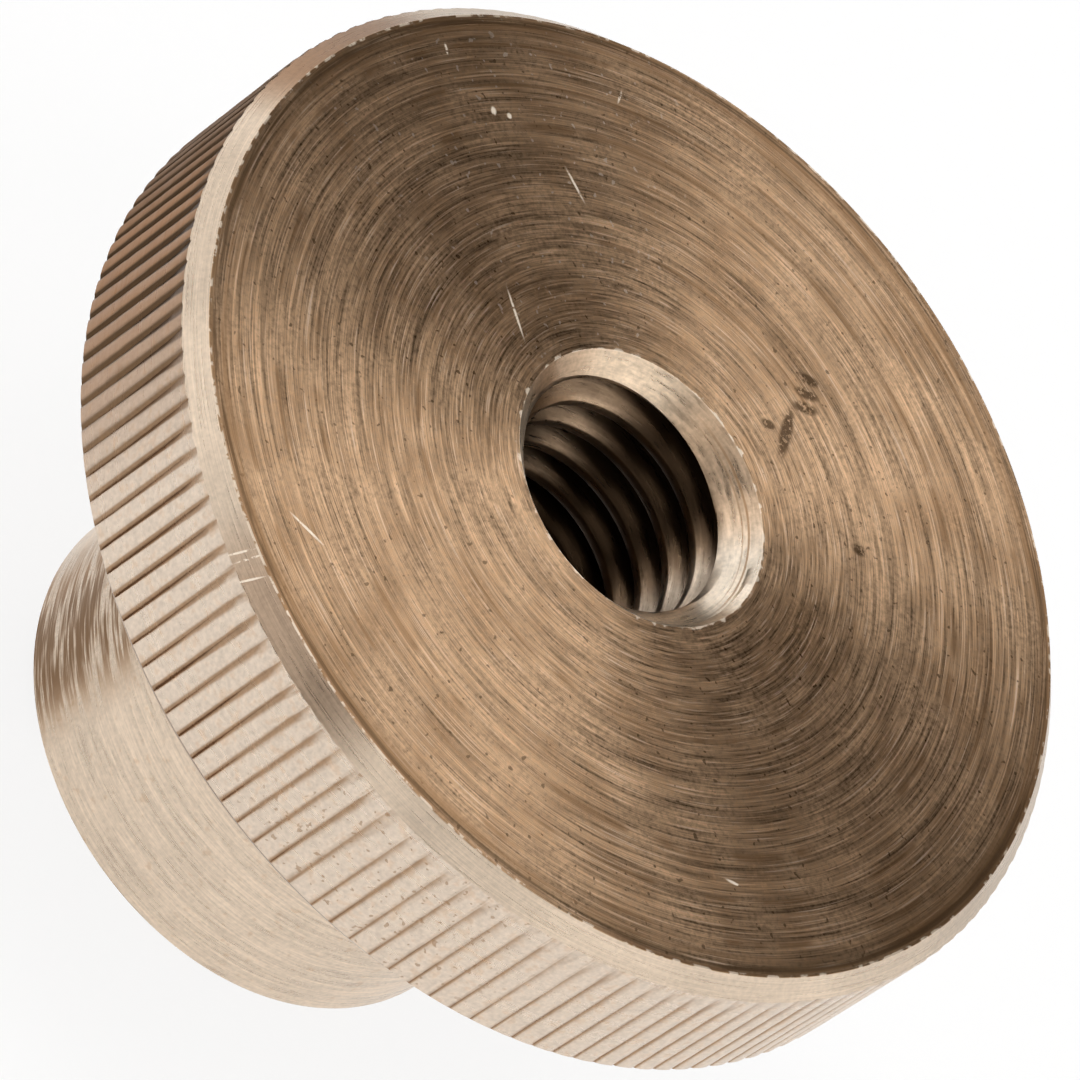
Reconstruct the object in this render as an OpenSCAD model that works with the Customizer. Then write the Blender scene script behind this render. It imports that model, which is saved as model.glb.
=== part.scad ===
// Knurled thumb nut of the high form: a knurled disc head on a plain round
// collar, turned from one brass bar and tapped right through. It stands on
// its collar, with the head's face up and the thread along +Z.

/* [Collar] */
// Diameter of the plain collar
collar_d = 16; // [14:0.5:20]
// Whole height, from the collar's end to the head's face
height = 18; // [14:0.5:24]
// 45 degree chamfer round the collar's end
collar_chamfer = 0.4; // [0.1:0.1:0.8]
// Fillet left by the tool where the collar meets the head
neck_fillet = 0.4; // [0.2:0.1:1.2]

/* [Head] */
// Diameter over the lands of the knurl
head_d = 30; // [26:0.5:36]
// Thickness of the head, chamfers included
head_t = 5.8; // [4:0.2:8]
// Radial width of the chamfer at the head's face
face_chamfer_w = 0.5; // [0.3:0.1:1]
// Axial height of the chamfer at the head's face
face_chamfer_h = 0.6; // [0.3:0.1:1]
// Radial width of the chamfer at the head's underside
under_chamfer_w = 0.5; // [0.3:0.1:1]
// Axial height of the chamfer at the head's underside
under_chamfer_h = 0.6; // [0.3:0.1:1]

/* [Knurl] */
// Number of straight grooves round the head
groove_count = 135; // [90:1:150]
// Width of a groove's mouth
groove_w = 0.24; // [0.12:0.02:0.4]
// Depth of a groove below the lands
groove_depth = 0.18; // [0.06:0.02:0.3]

/* [Threaded hole] */
// Nominal diameter of the thread
thread_d = 8; // [6:0.5:10]
// Pitch of the thread
thread_pitch = 1.25; // [0.75:0.25:1.5]
// How much wider the countersinks' mouths are than the thread
mouth_extra = 0.4; // [0.2:0.1:0.8]
// Included angle of the two countersinks
sink_angle = 90; // [60:5:120]

/* [Hidden] */
$fn = 120;

collar_r = collar_d / 2;
head_r = head_d / 2;
under_z = height - head_t;
// An ISO thread is 5/8 of its sharp V height deep, so the hole is bored to
// the thread's minor radius.
bore_r = thread_d / 2 - thread_pitch * 5 / 8 * cos(30);
mouth_r = (thread_d + mouth_extra) / 2;
sink_depth = (mouth_r - bore_r) / tan(sink_angle / 2);
groove_step = 360 / groove_count;
// How far a cutter runs past the metal that it cuts
overrun = 0.5;
brass = [0.72, 0.58, 0.42];

// Half section of the turned blank, bore and countersinks included
module turned_section() {
    polygon([
        [bore_r, sink_depth],
        [mouth_r, 0],
        [collar_r - collar_chamfer, 0],
        [collar_r, collar_chamfer],
        [collar_r, under_z],
        [head_r - under_chamfer_w, under_z],
        [head_r, under_z + under_chamfer_h],
        [head_r, height - face_chamfer_h],
        [head_r - face_chamfer_w, height],
        [mouth_r, height],
        [bore_r, height - sink_depth]
    ]);
    // Inside corner between the collar and the head's underside
    translate([collar_r, under_z - neck_fillet])
        difference() {
            square(neck_fillet);
            translate([neck_fillet, 0]) circle(neck_fillet);
        }
}

// One groove of the knurl: a V seen along the axis, right through the head
module groove() {
    flare = overrun * groove_w / groove_depth / 2;
    translate([0, 0, under_z - overrun])
        linear_extrude(head_t + 2 * overrun)
            polygon([
                [head_r - groove_depth, 0],
                [head_r + overrun, groove_w / 2 + flare],
                [head_r + overrun, -groove_w / 2 - flare]
            ]);
}

// The whole nut: the turned blank with the knurl's grooves rolled into it
module knurled_nut() {
    color(brass)
        difference() {
            rotate_extrude() turned_section();
            for (i = [0 : groove_count - 1])
                rotate([0, 0, i * groove_step]) groove();
        }
}

knurled_nut();
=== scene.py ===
import math
import random

import bmesh
import bpy
from mathutils import Matrix, Vector, noise


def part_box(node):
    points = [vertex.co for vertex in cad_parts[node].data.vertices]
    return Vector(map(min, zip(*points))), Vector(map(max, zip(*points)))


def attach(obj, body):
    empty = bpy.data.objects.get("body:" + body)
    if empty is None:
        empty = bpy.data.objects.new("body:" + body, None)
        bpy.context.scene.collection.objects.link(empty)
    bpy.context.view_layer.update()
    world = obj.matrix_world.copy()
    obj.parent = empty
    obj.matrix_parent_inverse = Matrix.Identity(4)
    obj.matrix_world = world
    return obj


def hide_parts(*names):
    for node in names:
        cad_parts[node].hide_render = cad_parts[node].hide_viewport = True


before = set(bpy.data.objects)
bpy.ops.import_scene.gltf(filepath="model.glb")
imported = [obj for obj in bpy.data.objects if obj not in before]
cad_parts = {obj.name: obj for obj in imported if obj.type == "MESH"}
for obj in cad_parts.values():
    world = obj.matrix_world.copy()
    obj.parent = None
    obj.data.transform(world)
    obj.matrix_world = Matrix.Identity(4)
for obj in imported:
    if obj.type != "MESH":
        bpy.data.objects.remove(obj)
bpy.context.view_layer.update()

# ---------------------------------------------------------------------------
# The nut's sizes, in millimetres. It stands on its collar, with +Z up.
# ---------------------------------------------------------------------------

MM = 0.001
NUT_LOW, NUT_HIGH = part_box("knurled_nut")

HEIGHT = (NUT_HIGH.z - NUT_LOW.z) / MM
HEAD_R = (NUT_HIGH.x - NUT_LOW.x) / MM / 2
HEAD_T = 5.8
COLLAR_R = 8.0
COLLAR_CHAMFER = 0.4
NECK_FILLET = 0.4
CHAMFER_W = 0.52
CHAMFER_H = 0.60
UNDER_Z = HEIGHT - HEAD_T

PITCH = 1.25
MAJOR_R = 4.0
MINOR_R = MAJOR_R - PITCH * 5 / 8 * math.cos(math.radians(30))
MOUTH_R = 4.2
# How far the crest's edges are eased, across and along
CREST_EASE = 0.02
CREST_EASE_ALONG = 0.04
# Where the first groove of the thread crosses the face's level, in degrees
THREAD_START = 90.0

# Knurl: grooves round the head, counted in runs of even spacing, because the
# wheel's last track doesn't meet its first. Each run is (grooves, degrees).
FIRST_GROOVE = 195.3
GROOVE_RUNS = [(17, 2.75), (15, 2.647), (1, 3.45), (16, 2.666), (86, 2.6447)]
GROOVE_DEPTH = 0.16
# The shallowest and deepest groove, as shares of that depth
GROOVE_SPREAD = (0.86, 1.10)
# Direction of the side whose grooves are fainter, and the share they lose there
FAINT_SIDE = 302.0
FAINT_LOSS = 0.58
# Share of its depth that a groove loses towards the face, and over its last part
RISE_LOSS = 0.35
RUN_OUT_LOSS = 0.55
RUN_OUT_LENGTH = 0.7
# Roughness of the lands: its depth, what is added near the face, and its fineness
ROUGH_DEPTH = 0.016
ROUGH_NEAR_FACE = 0.022
ROUGH_ROUND = 150
ROUGH_ALONG = 1.3
# Share of the pitch that a groove's mouth takes, at the face end and the far end
MOUTH_AT_FACE = 0.47
MOUTH_AT_REAR = 0.27

# Mesh steps
POINTS_PER_PITCH = 8
GROOVES = sum(count for count, step in GROOVE_RUNS)
HEAD_STEPS = GROOVES * POINTS_PER_PITCH
HEAD_SECTORS = 27
THREAD_STEPS = 192
# Points of the mesh nearer than this are one
WELD = 0.002


# ---------------------------------------------------------------------------
# Small helpers
# ---------------------------------------------------------------------------

def ramp(low, high, value):
    """0 below low, 1 above high, straight in between."""
    return min(1.0, max(0.0, (value - low) / (high - low)))


def chain(bm, points):
    """Vertices at (radius, height) points in the XZ plane, joined in a row."""
    row = [bm.verts.new((r, 0.0, z)) for r, z in points]
    return row + [bm.edges.new(pair) for pair in zip(row, row[1:])]


def repeat(bm, times, move):
    """Copies all that the mesh holds, moves the copies on in turn and merges."""
    first = bm.verts[:] + bm.edges[:] + bm.faces[:]
    for turn in range(1, times):
        copy = bmesh.ops.duplicate(bm, geom=first)["geom"]
        verts = [item for item in copy if isinstance(item, bmesh.types.BMVert)]
        bmesh.ops.transform(bm, matrix=move(turn), verts=verts)
    bmesh.ops.remove_doubles(bm, verts=bm.verts, dist=WELD)


def lathe(points, steps, sectors):
    """A wall turned round the axis from a section, as equal merged sectors."""
    bm = bmesh.new()
    bmesh.ops.spin(
        bm,
        geom=chain(bm, points),
        axis=(0, 0, 1),
        angle=math.tau / sectors,
        steps=steps // sectors,
    )
    repeat(bm, sectors, lambda turn: Matrix.Rotation(math.tau * turn / sectors, 4, "Z"))
    return bm


def rim_at(bm, level, largest):
    """The open edges at a height, within a radius."""
    return [
        edge
        for edge in bm.edges
        if edge.is_boundary
        and all(abs(v.co.z - level) < 0.001 and v.co.xy.length < largest for v in edge.verts)
    ]


# ---------------------------------------------------------------------------
# The blank and its knurl
# ---------------------------------------------------------------------------

def spread(start, end, count):
    """Count points from start towards end, without the end."""
    return [
        (
            start[0] + (end[0] - start[0]) * i / count,
            start[1] + (end[1] - start[1]) * i / count,
        )
        for i in range(count)
    ]


def shell_section():
    """Half section of the nut's outside, from the collar's end up to the face."""
    fillet = [
        (
            COLLAR_R + NECK_FILLET * (1 - math.cos(turn)),
            UNDER_Z - NECK_FILLET * (1 - math.sin(turn)),
        )
        for turn in (math.radians(15 * i) for i in range(6))
    ]
    rear_edge = (HEAD_R - CHAMFER_W, UNDER_Z)
    rear_land = (HEAD_R, UNDER_Z + CHAMFER_H)
    face_land = (HEAD_R, HEIGHT - CHAMFER_H)
    face_edge = (HEAD_R - CHAMFER_W, HEIGHT)
    collar_top = (COLLAR_R, UNDER_Z - NECK_FILLET)
    points = [(COLLAR_R - COLLAR_CHAMFER, 0.0)]
    points += spread((COLLAR_R, COLLAR_CHAMFER), collar_top, 5)
    points += fillet
    points += [(COLLAR_R + NECK_FILLET, UNDER_Z)]
    points += spread(rear_edge, rear_land, 3)
    points += spread(rear_land, face_land, 13)
    points += spread(face_land, face_edge, 4)
    points += [face_edge, (HEAD_R - CHAMFER_W - 0.25, HEIGHT)]
    return points


def groove_starts():
    """Each groove's starting angle and the pitch after it, in turn from 0 degrees."""
    starts = []
    angle = FIRST_GROOVE
    for count, step in GROOVE_RUNS:
        for _ in range(count):
            starts.append((angle % 360, step))
            angle += step
    return sorted(starts)


def ridge_point(index, rise, depth):
    """One of the eight points across a groove and its ridge.

    It gives the share of the pitch and the depth below the lands. The wall at
    the groove's start is steep, the floor climbs from its foot to the next
    ridge, and the ridge is crowned. Rise is 0 at the far end, 1 at the face.
    """
    mouth = MOUTH_AT_REAR + (MOUTH_AT_FACE - MOUTH_AT_REAR) * rise
    foot = 0.19 - 0.09 * rise
    crown = 1 - mouth
    return [
        (0.0, 0.026),
        (foot * 0.55, depth * 0.62),
        (foot, depth),
        (foot + (mouth - foot) * 0.55, depth * (0.34 + 0.42 * rise)),
        (mouth, 0.024),
        (mouth + crown * 0.20, 0.006),
        (mouth + crown * 0.52, 0.0),
        (1 - crown * 0.16, 0.010),
    ][index]


def groove_depth(angle, rng):
    """Depth of a groove: uneven, and less where the wheel bore down less."""
    faint = max(0.0, math.cos(math.radians(angle - FAINT_SIDE))) ** 2.5
    return GROOVE_DEPTH * rng.uniform(*GROOVE_SPREAD) * (1 - FAINT_LOSS * faint)


def roll_knurl(bm):
    """Moves the head's points so that its rim carries the rolled knurl."""
    rng = random.Random(82)
    angles = groove_starts()
    depths = [groove_depth(angle, rng) for angle, pitch in angles]
    slope = CHAMFER_H / CHAMFER_W
    inner = HEAD_R - CHAMFER_W
    for vert in bm.verts:
        x, y, z = vert.co
        radius = math.hypot(x, y)
        if radius < inner - 0.01 or z < UNDER_Z - 0.01:
            continue
        turn = math.degrees(math.atan2(y, x)) % 360
        step = round(turn / 360 * HEAD_STEPS) % HEAD_STEPS
        groove, index = divmod(step, POINTS_PER_PITCH)
        start, pitch = angles[groove]
        rise = ramp(UNDER_Z, HEIGHT, z)
        near_face = ramp(HEIGHT - CHAMFER_H - RUN_OUT_LENGTH, HEIGHT - CHAMFER_H, z)
        depth = depths[groove] * (1 - RISE_LOSS * rise) * (1 - RUN_OUT_LOSS * near_face)
        share, depth = ridge_point(index, rise, depth)
        angle = math.radians(start + share * pitch)
        east, north = math.cos(angle) * ROUGH_ROUND, math.sin(angle) * ROUGH_ROUND
        rough = noise.noise(Vector((east, north, z * ROUGH_ALONG)))
        land = HEAD_R - depth - (ROUGH_DEPTH + ROUGH_NEAR_FACE * near_face) * abs(rough)
        out = (radius - inner) / CHAMFER_W * (land - inner)
        if z > HEIGHT - CHAMFER_H - 0.001:
            radius = inner + out
            z = HEIGHT - out * slope
        elif z < UNDER_Z + CHAMFER_H + 0.001:
            radius = inner + out
            z = UNDER_Z + out * slope
        else:
            radius = land
        vert.co = (radius * math.cos(angle), radius * math.sin(angle), z)


# ---------------------------------------------------------------------------
# The tapped hole and its countersinks
# ---------------------------------------------------------------------------

def thread_section():
    """One pitch of the thread: the crest's flat, a flank, the root, a flank."""
    deep = MAJOR_R - MINOR_R
    flank = deep * math.tan(math.radians(30))
    crest = PITCH / 4
    points = [
        (MINOR_R + CREST_EASE, 0.0),
        (MINOR_R, CREST_EASE_ALONG),
        (MINOR_R, crest - CREST_EASE_ALONG),
        (MINOR_R + CREST_EASE, crest),
        (MINOR_R + deep / 2, crest + flank / 2),
        (MAJOR_R, crest + flank),
        (MAJOR_R, PITCH - flank),
        (MINOR_R + deep / 2, PITCH - flank / 2),
        (MINOR_R + CREST_EASE, PITCH),
    ]
    middle_of_root = (crest + PITCH) / 2
    return points, middle_of_root


def hole_wall():
    """The threaded wall, opened out by a countersink at each end."""
    points, middle_of_root = thread_section()
    bm = bmesh.new()
    bmesh.ops.spin(
        bm,
        geom=chain(bm, points),
        axis=(0, 0, 1),
        dvec=(0, 0, PITCH / THREAD_STEPS),
        angle=math.tau,
        steps=THREAD_STEPS,
    )
    turns = math.ceil(HEIGHT / PITCH) + 4
    repeat(bm, turns, lambda turn: Matrix.Translation((0, 0, turn * PITCH)))
    lift = HEIGHT - middle_of_root - PITCH * THREAD_START / 360
    lift -= PITCH * math.ceil((lift + 1.5 * PITCH) / PITCH)
    bmesh.ops.translate(bm, vec=(0, 0, lift), verts=bm.verts)
    for vert in bm.verts:
        level = min(vert.co.z, HEIGHT - vert.co.z)
        cone = MOUTH_R - level
        radius = vert.co.xy.length
        if cone > radius:
            vert.co.xy *= cone / radius
    for level, side in ((0.0, -1), (HEIGHT, 1)):
        bmesh.ops.bisect_plane(
            bm,
            geom=bm.verts[:] + bm.edges[:] + bm.faces[:],
            plane_co=(0, 0, level),
            plane_no=(0, 0, side),
            clear_outer=True,
        )
    bmesh.ops.remove_doubles(bm, verts=bm.verts, dist=WELD * 5)
    for vert in bm.verts:
        if vert.is_boundary:
            vert.co.z = 0.0 if vert.co.z < HEIGHT / 2 else HEIGHT
    return bm


def make_nut():
    """The outside shell and the hole's wall, joined by the two flat ends."""
    bm = lathe(shell_section(), HEAD_STEPS, HEAD_SECTORS)
    roll_knurl(bm)
    wall = hole_wall()
    part = bpy.data.meshes.new("wall")
    wall.to_mesh(part)
    wall.free()
    bm.from_mesh(part)
    for level in (0.0, HEIGHT):
        rims = rim_at(bm, level, HEAD_R)
        bmesh.ops.triangle_fill(bm, edges=rims, use_beauty=True, normal=(0, 0, 1))
    bmesh.ops.recalc_face_normals(bm, faces=bm.faces)
    bmesh.ops.scale(bm, vec=(MM, MM, MM), verts=bm.verts)
    mesh = bpy.data.meshes.new("knurled_brass_nut")
    bm.to_mesh(mesh)
    bm.free()
    mesh.shade_smooth()
    mesh.set_sharp_from_angle(angle=math.radians(32))
    nut = bpy.data.objects.new("knurled_brass_nut", mesh)
    bpy.context.scene.collection.objects.link(nut)
    return nut


# ---------------------------------------------------------------------------
# Shader maths: an expression on sockets adds its Math nodes
# ---------------------------------------------------------------------------

class Socket:
    """An output of a node, with the sums that can be made from it."""

    def __init__(self, tree, out):
        self.tree = tree
        self.out = out

    def _math(self, operation, *values):
        return add_node(self.tree, "ShaderNodeMath", {"operation": operation}, *values)

    def __add__(self, other):
        return self._math("ADD", self, other)

    def __radd__(self, other):
        return self._math("ADD", other, self)

    def __sub__(self, other):
        return self._math("SUBTRACT", self, other)

    def __rsub__(self, other):
        return self._math("SUBTRACT", other, self)

    def __mul__(self, other):
        return self._math("MULTIPLY", self, other)

    def __rmul__(self, other):
        return self._math("MULTIPLY", other, self)

    def __truediv__(self, other):
        return self._math("DIVIDE", self, other)

    def root(self):
        return self._math("SQRT", self)

    def size(self):
        return self._math("ABSOLUTE", self)

    def at_most(self, other):
        return self._math("MINIMUM", self, other)

    def at_least(self, other):
        return self._math("MAXIMUM", self, other)


def add_node(tree, kind, settings, *values, out=0, **named):
    """One node: its settings are set first, then its sockets' values or links."""
    node = tree.nodes.new(kind)
    for key, value in settings.items():
        setattr(node, key, value)
    for slot, value in list(enumerate(values)) + list(named.items()):
        socket = node.inputs[slot.replace("_", " ") if isinstance(slot, str) else slot]
        if isinstance(value, Socket):
            tree.links.new(value.out, socket)
        else:
            socket.default_value = value
    return Socket(tree, node.outputs[out])


def fade(value, low, high):
    """0 where value is under low, 1 where it is over high, smooth between."""
    settings = {"interpolation_type": "SMOOTHSTEP"}
    return add_node(value.tree, "ShaderNodeMapRange", settings, value, low, high, 0.0, 1.0)


def vector(tree, x, y, z):
    """A vector from its three parts."""
    return add_node(tree, "ShaderNodeCombineXYZ", {}, x, y, z)


def fine_noise(where, scale, detail=2.0, roughness=0.5):
    """Noise round 0.5 at a place, finer for a larger scale."""
    named = {"Vector": where, "Scale": scale, "Detail": detail, "Roughness": roughness}
    return add_node(where.tree, "ShaderNodeTexNoise", {}, **named)


def blend(first, second, share):
    """Mixes two colours by a share from 0 to 1."""
    tree = share.tree if isinstance(share, Socket) else first.tree
    node = tree.nodes.new("ShaderNodeMix")
    node.data_type = "RGBA"
    for slot, value in ((0, share), (6, first), (7, second)):
        if isinstance(value, Socket):
            tree.links.new(value.out, node.inputs[slot])
        else:
            node.inputs[slot].default_value = value
    return Socket(tree, node.outputs[2])


# ---------------------------------------------------------------------------
# Brass, turned and tarnished
# ---------------------------------------------------------------------------

PALE = (0.90, 0.78, 0.64, 1)
LIGHT = (0.735, 0.61, 0.495, 1)
CREAM = (0.72, 0.585, 0.455, 1)
TAN = (0.82, 0.62, 0.43, 1)
TURNED = (0.56, 0.37, 0.225, 1)
BROWN = (0.33, 0.19, 0.095, 1)
UMBER = (0.30, 0.135, 0.045, 1)
# Dark brown for dirt, and also for painted shade
GRIME_AND_SHADE = (0.075, 0.043, 0.022, 1)

FACE_EDGE = HEAD_R - CHAMFER_W

# How strongly the turning marks stretch the highlights, and which way they run
BRUSHED = 0.75
BRUSHED_TURN = 0.25
# Depth of the turning marks, in metres, and how much of it shows
MARK_DEPTH = 0.00004
MARK_STRENGTH = 0.35

# Marks on the face and chamfer, in millimetres: each one's start, end and width
SCRATCHES = [
    ((-4.9, -12.0), (-3.4, -11.6), 0.06),
    ((-6.75, 0.2), (-4.95, -0.6), 0.06),
    ((-8.6, 5.0), (-7.2, 4.75), 0.06),
    ((9.8, -6.3), (10.3, -5.9), 0.06),
    ((-11.0, 3.95), (-10.7, 3.75), 0.13),
    ((-10.6, 4.35), (-10.4, 4.2), 0.11),
    ((-13.21, 3.84), (-12.79, 3.6), 0.06),
    ((-9.45, 8.86), (-9.14, 8.3), 0.05),
    ((-4.8, -14.3), (-4.45, -13.75), 0.04),
    ((-4.5, -14.3), (-4.2, -13.7), 0.04),
    ((-4.1, -14.6), (-3.7, -14.0), 0.04),
]
SMUDGES = [
    ((0.4, 7.3), (1.7, 5.1), 0.28),
    ((-0.2, 7.95), (0.6, 8.6), 0.24),
    ((0.1, 7.5), (0.9, 8.25), 0.26),
    ((0.4, 7.0), (1.2, 7.95), 0.26),
    ((0.3, 5.6), (0.85, 6.0), 0.22),
    ((4.65, 5.7), (5.1, 6.1), 0.26),
]
# Turned rings on the face that stand out as darker: radius and half width
RINGS = [(7.6, 0.10), (11.0, 0.17), (12.3, 0.08), (13.55, 0.12)]


class Surface:
    """Where a point of the brass is: in millimetres, and as a way round the axis."""

    def __init__(self, tree):
        place = add_node(tree, "ShaderNodeTexCoord", {}, out=3)
        scale = {"operation": "SCALE"}
        self.place = add_node(tree, "ShaderNodeVectorMath", scale, place, Scale=1 / MM)
        parts = tree.nodes.new("ShaderNodeSeparateXYZ")
        tree.links.new(self.place.out, parts.inputs[0])
        self.x, self.y, self.z = (Socket(tree, parts.outputs[i]) for i in range(3))
        self.tree = tree
        self.radius = (self.x * self.x + self.y * self.y).root()
        self.east = self.x / self.radius.at_least(0.01)
        self.north = self.y / self.radius.at_least(0.01)
        self.on_face = fade(self.z, HEIGHT - 0.02, HEIGHT - 0.005)
        self.fine = self.streaks(4.5, 0.045)
        self.middle = self.streaks(3.5, 0.15)
        self.wide = self.streaks(1.2, 0.5, 1.0)
        self.grit = self.grain(0.13)
        self.specks = self.grain(0.22, 1.0)
        self.patches = self.grain(0.32, 3.0)
        self.clouds = self.grain(2.2, 3.0)

    def streaks(self, length, width, detail=2.0, roughness=0.6):
        """Marks left by the tool: long round the axis, narrow across it."""
        across = (self.radius - self.z * 0.5) / width
        where = vector(self.tree, self.east * length, self.north * length, across)
        return fine_noise(where, 1.0, detail, roughness)

    def grain(self, size, detail=2.0):
        """Even mottling, with spots of about a size in millimetres."""
        return fine_noise(self.place, 1 / size, detail)

    def toward(self, angle, reach):
        """1 on the side that faces an angle, 0 further round than reach from it."""
        turn = math.radians(angle)
        near = self.east * math.cos(turn) + self.north * math.sin(turn)
        return fade(near, math.cos(math.radians(reach)), math.cos(math.radians(reach * 0.3)))

    def ring(self, radius, width):
        """1 along a thin ring round the axis."""
        return 1 - fade((self.radius - radius).size(), width * 0.3, width)

    def marks(self, strokes):
        """1 along thin marks on the face with tapered ends, 0 away from them."""
        nearest = None
        for start, end, width in strokes:
            first, last = Vector(start), Vector(end)
            middle, way = (first + last) / 2, last - first
            named = {
                "Vector": self.place,
                "Location": (middle.x, middle.y, HEIGHT),
                "Rotation": (0, 0, math.atan2(way.y, way.x)),
                "Scale": (way.length / 2, width, 10.0),
            }
            mapped = add_node(self.tree, "ShaderNodeMapping", {"vector_type": "TEXTURE"}, **named)
            length = {"operation": "LENGTH"}
            far = add_node(self.tree, "ShaderNodeVectorMath", length, mapped, out=1)
            nearest = far if nearest is None else nearest.at_most(far)
        return 1 - fade(nearest, 0.45, 1.0)


def shade(colour, factor):
    """A colour made lighter or darker by a factor."""
    start = colour if isinstance(colour, Socket) else colour[:3]
    return add_node(factor.tree, "ShaderNodeVectorMath", {"operation": "SCALE"}, start, Scale=factor)


def scratches(at):
    """The bright scratches and nicks on the face and chamfer."""
    on_top = fade(at.z, HEIGHT - CHAMFER_H, HEIGHT - CHAMFER_H + 0.03)
    return at.marks(SCRATCHES) * on_top * fade(at.patches * 0.5 + at.grit * 0.5, 0.40, 0.49)


def burrs(at):
    """Ragged bright edges: round the face's outside and round the countersink."""
    outer = fade(at.radius, FACE_EDGE - 0.08, FACE_EDGE - 0.045)
    outer = outer * fade(at.patches + at.toward(257.0, 34.0) * 0.10, 0.52, 0.60)
    lip = 1 - fade(at.radius - at.patches * 0.6, MOUTH_R - 0.33, MOUTH_R - 0.27)
    return (outer * 0.7).at_least(lip * 0.75) * at.on_face


def face_colour(at):
    """The turned face: fine arcs, brown mottling and a dark ring near the edge."""
    tone = 1.0 + (at.fine - 0.5) * 1.7 + (at.middle - 0.5) * 0.9 + (at.wide - 0.5) * 0.9
    tone = tone + (at.grit - 0.5) * 1.1
    mottle = fade(at.clouds * 0.6 + at.grit * 0.4, 0.47, 0.62)
    colour = shade(blend(TURNED, BROWN, mottle * 0.45), tone)
    lit = fade(at.fine, 0.60, 0.72)
    colour = blend(colour, LIGHT, lit * 0.55)
    colour = blend(colour, GRIME_AND_SHADE, fade(at.specks, 0.70, 0.76) * 0.6)
    # Painted glints: pale specks painted only on the side round 160 degrees
    glint_flecks = (1 - fade(at.specks, 0.26, 0.31)) * at.toward(160.0, 42.0)
    colour = blend(colour, LIGHT, glint_flecks * 0.8)
    edge = fade(at.radius, FACE_EDGE - 0.85, FACE_EDGE - 0.30)
    edge = edge * fade(at.wide * 0.5 + at.middle * 0.5, 0.40, 0.55) * 0.8
    groove = at.ring(FACE_EDGE - 0.21, 0.13) * fade(at.middle, 0.38, 0.52)
    colour = blend(colour, BROWN, edge)
    colour = blend(colour, GRIME_AND_SHADE, groove * 0.55)
    for radius, width in RINGS:
        worn = at.ring(radius, width) * fade(at.clouds + at.toward(112.0, 60.0) * 0.12, 0.46, 0.60)
        colour = blend(colour, BROWN, worn * 0.6)
    dirt_and_shade = at.marks(SMUDGES) * fade(at.grit, 0.34, 0.52)
    return blend(colour, GRIME_AND_SHADE, dirt_and_shade * 0.85)


def rim_colour(at):
    """The knurl: cream ridges with brown grooves, all browner on one side, which is painted shade.
    """
    # Painted shade: the side round 196 degrees is painted browner, and its groove walls darker
    side = at.toward(196.0, 46.0)
    floor = 1 - fade(at.radius, HEAD_R - 0.065, HEAD_R - 0.018)
    foot = 1 - fade(at.radius, HEAD_R - 0.13, HEAD_R - 0.07)
    tone = 1.0 + (at.patches - 0.5) * 0.35 + (at.grit - 0.5) * 0.40
    colour = shade(blend(LIGHT, TURNED, fade(at.patches, 0.52, 0.68) * 0.35), tone)
    colour = blend(colour, UMBER, side * 0.87)
    pits = fade(at.specks, 0.66, 0.71) * at.toward(288.0, 22.0)
    colour = blend(colour, BROWN, pits * 0.6)
    colour = blend(colour, shade(BROWN, tone), floor * 0.85)
    wall = 1 - fade(at.radius, HEAD_R - 0.040, HEAD_R - 0.006)
    # Dirt and painted shade at the foot of the grooves, and painted shade on the groove walls of the
    # shaded side
    colour = blend(colour, GRIME_AND_SHADE, (foot * 0.45).at_least(wall * side))
    # Painted shade, darkest round 183 degrees
    return blend(colour, GRIME_AND_SHADE, at.toward(183.0, 24.0) * 0.65)


def bevel_colour(at):
    """The chamfer between face and knurl: turning marks, and two brown places that are painted
    shade.
    """
    tone = 0.93 + (at.fine - 0.5) * 0.6 + (at.grit - 0.5) * 0.35
    # Painted shade: the chamfer is painted brown round 179 and 262 degrees
    colour = blend(CREAM, UMBER, at.toward(179.0, 18.0) * 0.80)
    colour = blend(colour, UMBER, at.toward(262.0, 16.0) * 0.42)
    return shade(colour, tone)


def collar_colour(at):
    """The collar: turning lines, and a brown place on one side, which is painted shade."""
    tone = 1.0 + (at.fine - 0.5) * 0.8 + (at.middle - 0.5) * 0.5 + (at.grit - 0.5) * 0.4
    # Painted shade: a brown patch round 220 degrees, darkest round 224 degrees
    painted_shade_patch = at.toward(220.0, 27.0) * fade(at.fine * 0.5 + at.middle * 0.5, 0.40, 0.56)
    spots = fade(at.patches, 0.60, 0.72)
    colour = shade(blend(CREAM, TURNED, spots * 0.4), tone)
    colour = blend(colour, BROWN, painted_shade_patch)
    return blend(colour, GRIME_AND_SHADE, painted_shade_patch * at.toward(224.0, 16.0) * 0.45)


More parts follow.
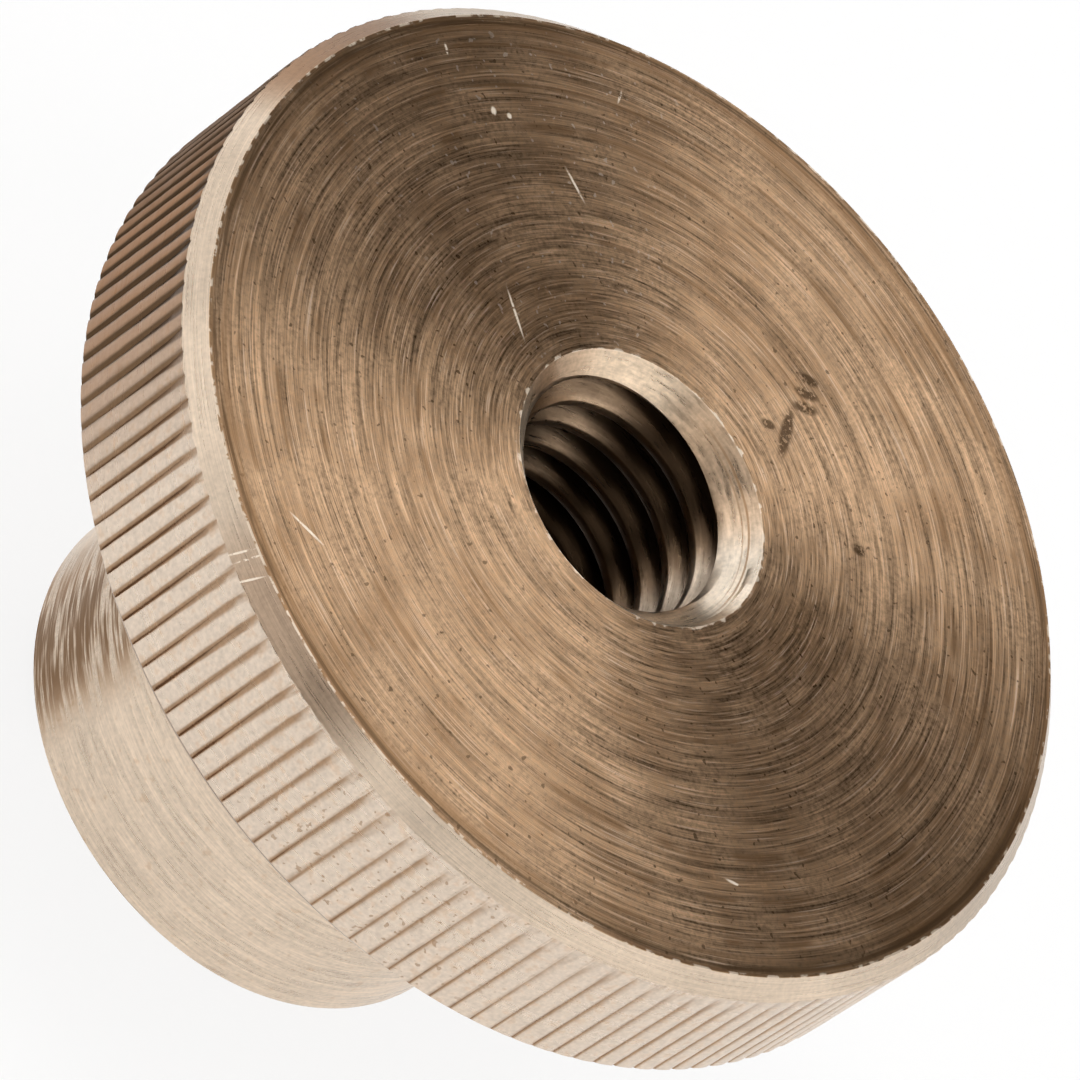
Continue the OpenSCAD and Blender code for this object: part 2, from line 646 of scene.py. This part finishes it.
def hole_colour(at):
    """Countersink and thread: pale metal, with painted reflections that change its tone round the
    hole, and painted shade in the roots of the thread and deeper in the hole.
    """
    tone = 0.87 + (at.fine - 0.5) * 0.8 + (at.grit - 0.5) * 0.5
    below = 1 - fade(at.z, HEIGHT - 1.0, HEIGHT - 0.7)
    # Painted reflections: the metal's tone is painted to change round the hole
    colour = blend(PALE, TAN, at.toward(140.0, 70.0) * 0.75)
    colour = blend(colour, TURNED, at.toward(76.0, 44.0) * 0.8)
    colour = blend(colour, UMBER, at.toward(178.0, 30.0) * 0.35)
    # Painted shade deeper in the hole, with less of it round 24 degrees
    colour = shade(blend(colour, TURNED, below * 0.7 - at.toward(24.0, 30.0) * 0.5), tone)
    lines = at.ring(3.93, 0.035).at_least(at.ring(3.80, 0.025) * 0.6)
    colour = blend(colour, BROWN, lines * at.toward(45.0, 65.0) * 0.8)
    # Painted shade: the roots of the thread darker, and the side round 88 degrees darker still,
    # deeper in the hole
    dark_side = at.toward(88.0, 54.0)
    deep = fade(at.radius, MINOR_R + 0.02, MINOR_R + 0.20)
    dirt_and_shade = (deep * (0.55 + dark_side * 0.40)).at_least(dark_side * 0.93)
    colour = blend(colour, GRIME_AND_SHADE, dirt_and_shade * below)
    return shade(colour, 1 - dark_side * below * 0.65)


def brass_material():
    """The finish of the whole nut, each zone with its own colour."""
    material = bpy.data.materials.new("turned_brass")
    material.use_nodes = True
    tree = material.node_tree
    shader = tree.nodes["Principled BSDF"]
    at = Surface(tree)

    on_head = fade(at.z, UNDER_Z - 0.05, UNDER_Z + 0.02)
    on_knurl = fade(at.radius, HEAD_R - 0.36, HEAD_R - 0.34) * (
        1 - fade(at.z, HEIGHT - CHAMFER_H + 0.02, HEIGHT - CHAMFER_H + 0.04)
    )
    on_bevel = fade(at.radius, FACE_EDGE - 0.01, FACE_EDGE) * on_head
    in_hole = 1 - fade(at.radius, MOUTH_R - 0.01, MOUTH_R + 0.01)
    colour = blend(collar_colour(at), bevel_colour(at), on_bevel)
    colour = blend(colour, rim_colour(at), on_knurl * on_head)
    colour = blend(colour, face_colour(at), at.on_face)
    colour = blend(colour, hole_colour(at), in_hole)
    bright = scratches(at).at_least(burrs(at))
    colour = blend(colour, PALE, bright)
    tree.links.new(colour.out, shader.inputs["Base Color"])

    metal = 1 - bright * 0.55
    tree.links.new(metal.out, shader.inputs["Metallic"])
    shader.inputs["Anisotropic"].default_value = BRUSHED
    shader.inputs["Anisotropic Rotation"].default_value = BRUSHED_TURN
    rough = 0.31 + at.on_face * 0.09 + (at.fine - 0.5) * 0.25 + (at.middle - 0.5) * 0.15
    rough = rough + at.toward(188.0, 30.0) * on_knurl * 0.3
    tree.links.new(rough.out, shader.inputs["Roughness"])

    height = at.middle * 0.5 + at.fine * 0.5
    named = {"Strength": MARK_STRENGTH, "Distance": MARK_DEPTH, "Height": height}
    bump = add_node(tree, "ShaderNodeBump", {}, **named)
    tree.links.new(bump.out, shader.inputs["Normal"])
    return material


# ---------------------------------------------------------------------------
# Studio: floor, sky, lamps and camera
# ---------------------------------------------------------------------------

FLOOR_REACH = 3.0
# Share of steady white in what the camera sees of the floor; the rest takes shadows
FLOOR_WHITE = 0.85
ROOM = (0.080, 0.070, 0.058, 1)
LAMP_AWAY = 0.5
# The camera: its rise and roll in degrees, its lens and its offsets in millimetres
CAMERA_RISE = 42.45
CAMERA_ROLL = 55.12
CAMERA_LENS = 300.8
CAMERA_AWAY = 245.8
CAMERA_LEFT = 2.793
CAMERA_DOWN = 1.4385


def seen_directly(tree):
    """1 for rays from the camera, or by way of a mirror or glass."""
    node = tree.nodes.new("ShaderNodeLightPath")
    names = ("Is Camera Ray", "Is Glossy Ray", "Is Transmission Ray")
    rays = [Socket(tree, node.outputs[name]) for name in names]
    return rays[0].at_least(rays[1]).at_least(rays[2])


def make_floor():
    """A white floor that still takes the nut's shadow."""
    bm = bmesh.new()
    bmesh.ops.create_grid(bm, x_segments=1, y_segments=1, size=FLOOR_REACH)
    mesh = bpy.data.meshes.new("floor")
    bm.to_mesh(mesh)
    bm.free()
    floor = bpy.data.objects.new("floor", mesh)
    bpy.context.scene.collection.objects.link(floor)
    material = bpy.data.materials.new("pale_floor")
    material.use_nodes = True
    tree = material.node_tree
    shader = tree.nodes["Principled BSDF"]
    shader.inputs["Base Color"].default_value = (0.9, 0.9, 0.9, 1)
    shader.inputs["Roughness"].default_value = 0.9
    shader.inputs["Specular IOR Level"].default_value = 0.0
    glow = add_node(tree, "ShaderNodeEmission", {}, (1, 1, 1, 1), 1.0)
    share = seen_directly(tree) * FLOOR_WHITE
    plain = Socket(tree, shader.outputs[0])
    mixed = add_node(tree, "ShaderNodeMixShader", {}, share, plain, glow)
    tree.links.new(mixed.out, tree.nodes["Material Output"].inputs[0])
    material.cycles.emission_sampling = "NONE"
    floor.data.materials.append(material)


def make_sky():
    """A dim, warm room round the nut, which the camera sees as white."""
    world = bpy.data.worlds.new("studio")
    bpy.context.scene.world = world
    world.use_nodes = True
    tree = world.node_tree
    path = tree.nodes.new("ShaderNodeLightPath")
    colour = blend(ROOM, (1, 1, 1, 1), Socket(tree, path.outputs["Is Camera Ray"]))
    tree.links.new(colour.out, tree.nodes["Background"].inputs[0])


def softbox(name, azimuth, elevation, width, height, glow):
    """A lamp panel that faces the head, of a given radiance."""
    light = bpy.data.lights.new(name, "AREA")
    light.shape = "RECTANGLE"
    light.size = width
    light.size_y = height
    light.energy = glow * math.pi * width * height
    turn, rise = math.radians(azimuth), math.radians(elevation)
    away = Vector((math.cos(turn) * math.cos(rise), math.sin(turn) * math.cos(rise), math.sin(rise)))
    lamp = bpy.data.objects.new(name, light)
    lamp.location = Vector((0, 0, HEIGHT * MM)) + away * LAMP_AWAY
    lamp.rotation_euler = away.to_track_quat("Z", "Y").to_euler()
    bpy.context.scene.collection.objects.link(lamp)


def light_nut():
    """Panels over the nut, and a ring of low ones open at the camera and the back."""
    softbox("top_left", 180, 68, 0.2, 0.2, 4.9)
    softbox("top_right", 0, 68, 0.2, 0.2, 3.9)
    softbox("top_front", -90, 68, 0.2, 0.2, 1.7)
    softbox("top_back", 90, 70, 0.2, 0.2, 3.3)
    softbox("high_left", 178, 50, 0.22, 0.20, 1.3)
    softbox("back_left", 146, 56, 0.20, 0.20, 1.6)
    softbox("high_right", 6, 50, 0.22, 0.20, 1.5)
    softbox("by_camera", -78, 32, 0.16, 0.20, 0.8)
    for azimuth, glow in ((145, 1.35), (172, 0.98), (200, 1.03), (225, 1.03), (250, 1.03)):
        softbox(f"left_{azimuth}", azimuth, 19, 0.22, 0.32, glow)
    for azimuth in (295, 320, 345, 12, 35):
        softbox(f"right_{azimuth}", azimuth, 19, 0.22, 0.32, 1.0)


def make_camera():
    """Looks along +Y and down at the face, with the picture rolled."""
    rise, roll = math.radians(CAMERA_RISE), math.radians(CAMERA_ROLL)
    back = Vector((0, -math.cos(rise), math.sin(rise)))
    level = Vector((1, 0, 0))
    over = back.cross(level)
    right = level * math.cos(roll) + over * math.sin(roll)
    up = over * math.cos(roll) - level * math.sin(roll)
    camera = bpy.data.cameras.new("camera")
    camera.sensor_width = 36
    camera.lens = CAMERA_LENS
    camera.clip_start = 0.01
    holder = bpy.data.objects.new("camera", camera)
    face = Vector((0, 0, HEIGHT * MM))
    aside = right * CAMERA_LEFT * MM + up * CAMERA_DOWN * MM
    holder.location = face - aside + back * CAMERA_AWAY * MM
    frame_of_view = Matrix((right, up, back)).transposed()
    holder.rotation_euler = frame_of_view.to_euler()
    bpy.context.scene.collection.objects.link(holder)
    bpy.context.scene.camera = holder


# ---------------------------------------------------------------------------
# The scene
# ---------------------------------------------------------------------------

nut = make_nut()
nut.data.materials.clear()
nut.data.materials.append(brass_material())
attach(nut, "root")
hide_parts("knurled_nut")

make_floor()
make_sky()
light_nut()
make_camera()
bpy.context.scene.view_settings.view_transform = "Standard"
# Smooth parts of the picture stop early, so that a full render stays short
bpy.context.scene.cycles.adaptive_threshold = 0.08
bpy.context.scene.cycles.adaptive_min_samples = 12
bpy.context.scene.cycles.max_bounces = 4
